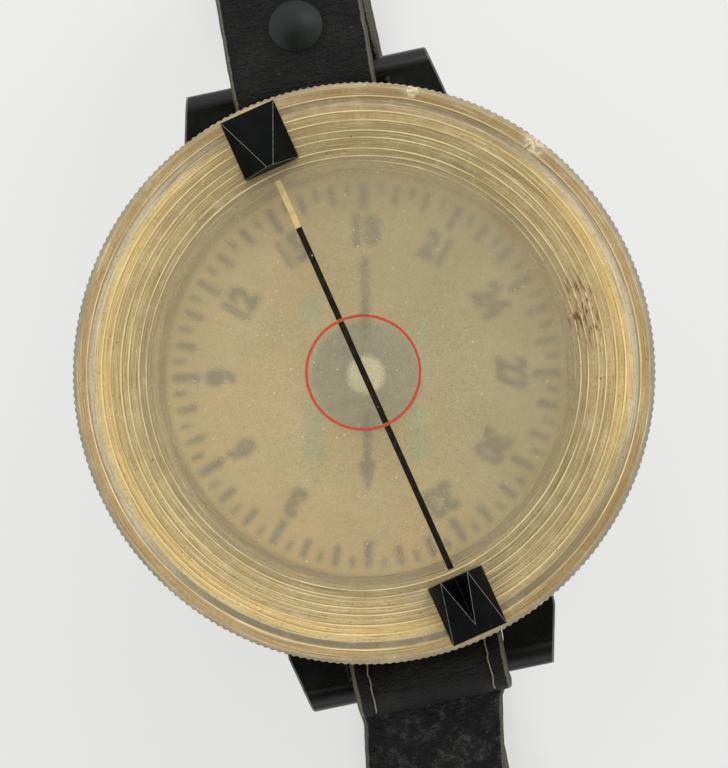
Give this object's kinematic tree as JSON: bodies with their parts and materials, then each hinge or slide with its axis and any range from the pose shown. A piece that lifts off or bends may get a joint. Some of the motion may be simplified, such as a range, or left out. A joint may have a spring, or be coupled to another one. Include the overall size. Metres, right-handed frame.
{
  "type": "wrist compass",
  "caption": "Aviator's wrist compass: liquid bowl with a floating card under a clear knurled bezel with sights, on a leather strap with a wire buckle.",
  "frame": {"origin": "centre of the base's flat back, on the compass axis", "axes": "+Z along the compass axis out of the dial, +Y towards the strap half with the stud"},
  "size_m": [0.06, 0.1171, 0.0625],
  "materials": {
    "bakelite": "glossy black moulding",
    "clear_case": "yellowed clear plastic, scuffed",
    "window": "yellowed clear plastic, hazy",
    "sight_black": "satin black",
    "line_black": "filled engraving",
    "luminous": "aged luminous filling",
    "red_line": "filled engraving",
    "card": "aged printed card",
    "card_cap": "grey",
    "brass": "turned",
    "steel": "plain",
    "magnet": "blued",
    "jewel": "polished",
    "seal": "soft",
    "strap": "black, worn",
    "stud": "black japanned",
    "buckle": "dull plated wire"
  },
  "bodies": {
    "case": {"base": "bakelite", "base_screws": "brass", "bowl": "clear_case", "bowl_cover": "window", "cover_gasket": "seal", "filler_plug": "brass", "filler_washer": "seal", "pivot_post": "brass", "pivot_needle": "steel", "bezel_spring": "steel"},
    "card": {"card_disc": "card", "card_hub": "brass", "pivot_jewel": "jewel", "card_magnets": "magnet", "hub_cap": "card_cap", "centre_dot": "luminous"},
    "bezel": {"bezel_ring": "clear_case", "window": "window", "front_sight": "sight_black", "rear_sight": "sight_black", "sight_line": "line_black", "sight_line_tip": "luminous", "centre_ring": "red_line"},
    "upper_strap": {"upper_strap": "strap", "strap_stud": "stud", "stud_washer": "brass"},
    "lower_strap": {"lower_strap": "strap", "buckle_rivet": "buckle"},
    "buckle": {"buckle_frame": "buckle"},
    "prong": {"buckle_prong": "buckle"},
    "keeper": {"strap_keeper": "strap"}
  },
  "joints": [
    {"name": "bezel_turn", "type": "hinge", "parent": "case", "child": "bezel", "pos_m": [0, 0, 0.0137], "axis": [0, 0, 1], "continuous": true},
    {"name": "card_turn", "type": "hinge", "parent": "case", "child": "card", "pos_m": [0, 0, 0.0102], "axis": [0, 0, 1], "continuous": true},
    {"name": "upper_strap_swing", "type": "hinge", "parent": "case", "child": "upper_strap", "pos_m": [0, 0.03155, 0.00385], "axis": [1, 0, 0], "range_deg": [0, 65]},
    {"name": "lower_strap_swing", "type": "hinge", "parent": "case", "child": "lower_strap", "pos_m": [0, -0.03155, 0.00385], "axis": [-1, 0, 0], "range_deg": [0, 65]},
    {"name": "buckle_swing", "type": "hinge", "parent": "lower_strap", "child": "buckle", "pos_m": [0, -0.00674, -0.02671], "axis": [1, 0, 0], "range_deg": [-20, 50]},
    {"name": "prong_swing", "type": "hinge", "parent": "buckle", "child": "prong", "pos_m": [0, -0.00674, -0.02671], "axis": [-1, 0, 0], "range_deg": [0, 60]},
    {"name": "keeper_slide", "type": "slide", "parent": "lower_strap", "child": "keeper", "axis": [0, 0.9063, 0.4226], "range_m": [-0.0025, 0.0025]}
  ]
}
